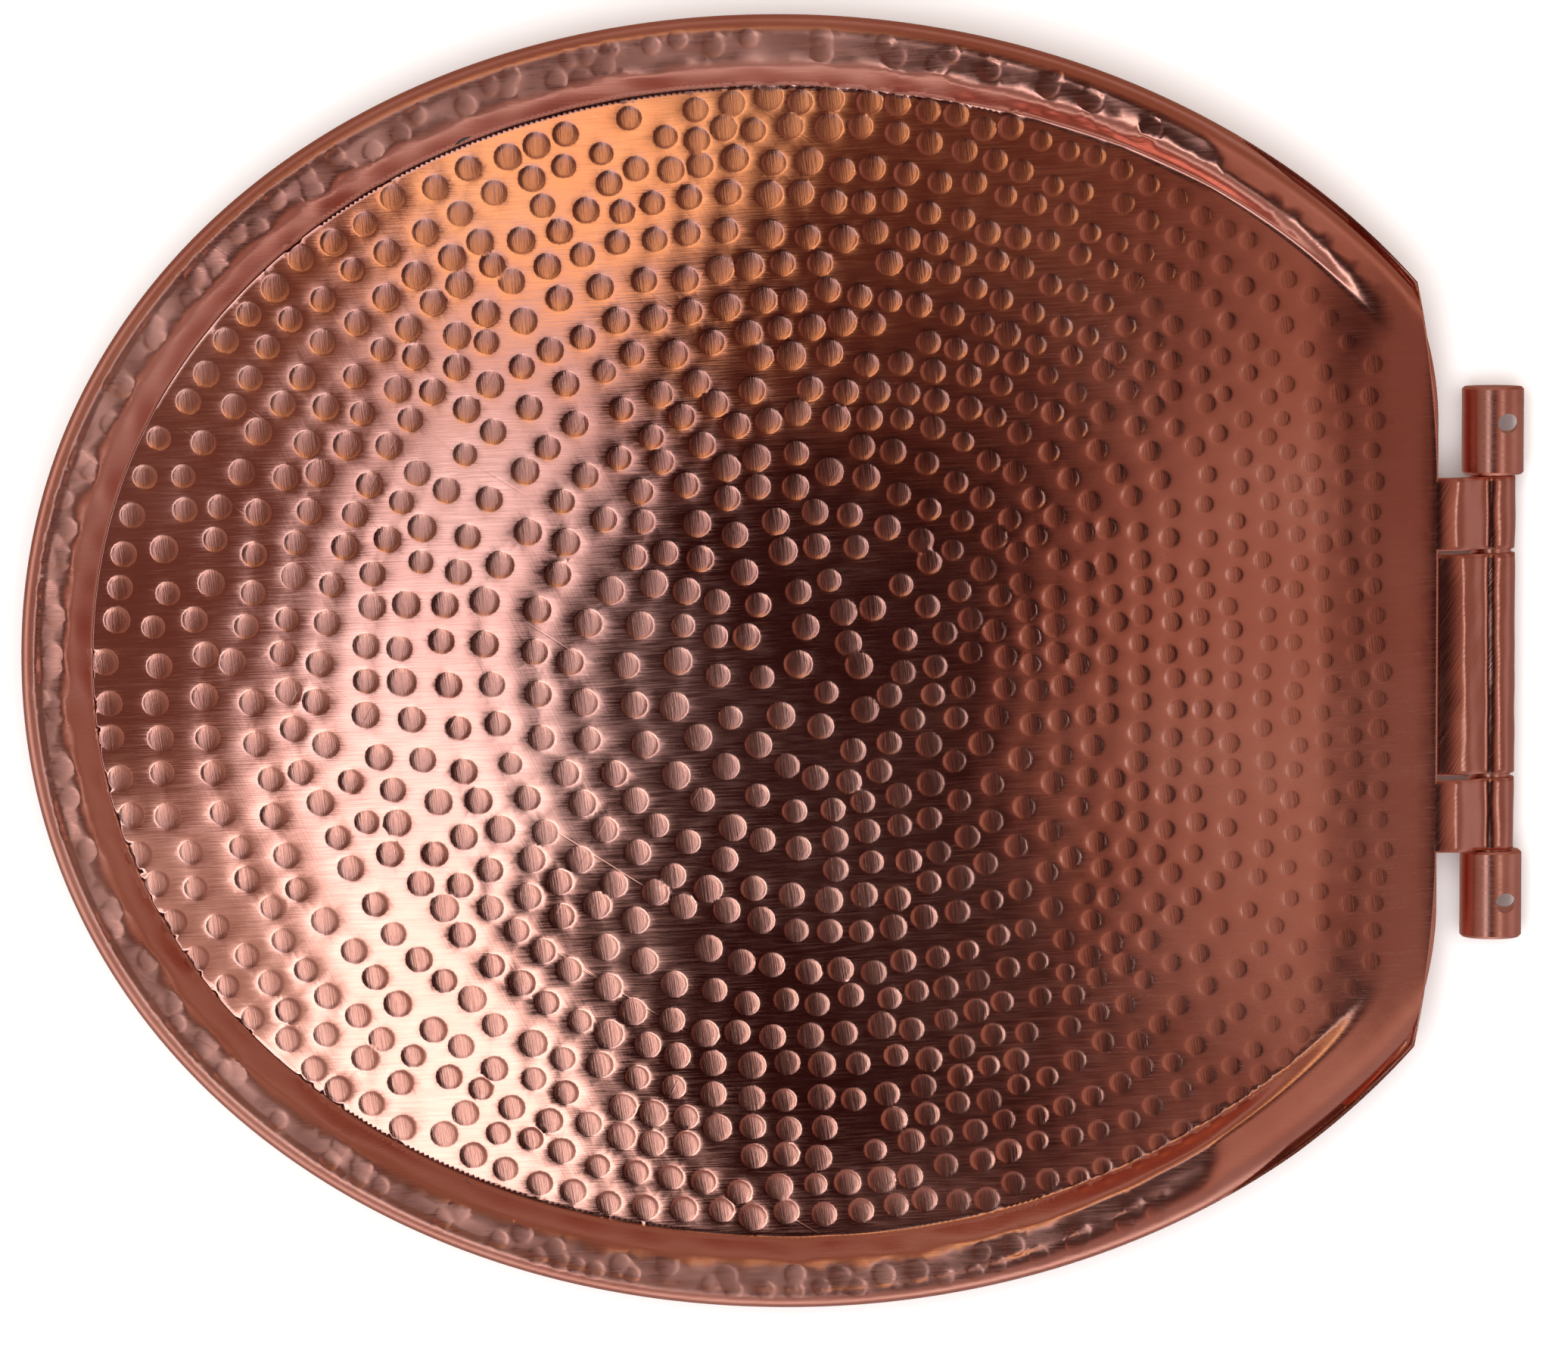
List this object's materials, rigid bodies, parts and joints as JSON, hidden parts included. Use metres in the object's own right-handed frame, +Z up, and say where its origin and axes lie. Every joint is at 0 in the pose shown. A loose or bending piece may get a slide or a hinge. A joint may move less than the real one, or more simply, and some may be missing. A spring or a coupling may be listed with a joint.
{
  "type": "toilet seat with lid",
  "caption": "Hammered copper toilet seat: domed lid over an open ring seat, rolled knuckles turning on a hinge rod with bored end barrels.",
  "frame": {"origin": "midway between the two fixing holes, on the china that the seat stands on", "axes": "+X along the hinge rod, -Y to the front of the bowl, +Z up"},
  "size_m": [0.378, 0.4393, 0.045],
  "materials": {
    "hammered_copper": "satin copper sheet, hammered with round dents and brushed",
    "plain_copper": "satin copper sheet, plain",
    "turned_copper": "turned copper bar, fine brushed",
    "screw_brass": "satin brass",
    "rubber": "black rubber",
    "wood": "sealed hardwood"
  },
  "bodies": {
    "hinge_mount": {"hinge_rod": "turned_copper", "hinge_barrel_left": "turned_copper", "hinge_barrel_right": "turned_copper"},
    "seat": {"seat_shell": "hammered_copper", "seat_core": "wood", "seat_bottom_plate": "plain_copper", "plate_screws": "screw_brass", "seat_bumpers": "rubber", "bumper_screws": "screw_brass"},
    "lid": {"lid_shell": "hammered_copper", "lid_buffers": "rubber"}
  },
  "joints": [
    {"name": "seat_hinge", "type": "hinge", "parent": "hinge_mount", "child": "seat", "pos_m": [0, -0.0042, 0.009], "axis": [-1, 0, 0], "range_deg": [0, 100]},
    {"name": "lid_hinge", "type": "hinge", "parent": "seat", "child": "lid", "pos_m": [0, -0.0042, 0.009], "axis": [-1, 0, 0], "range_deg": [0, 100]}
  ]
}
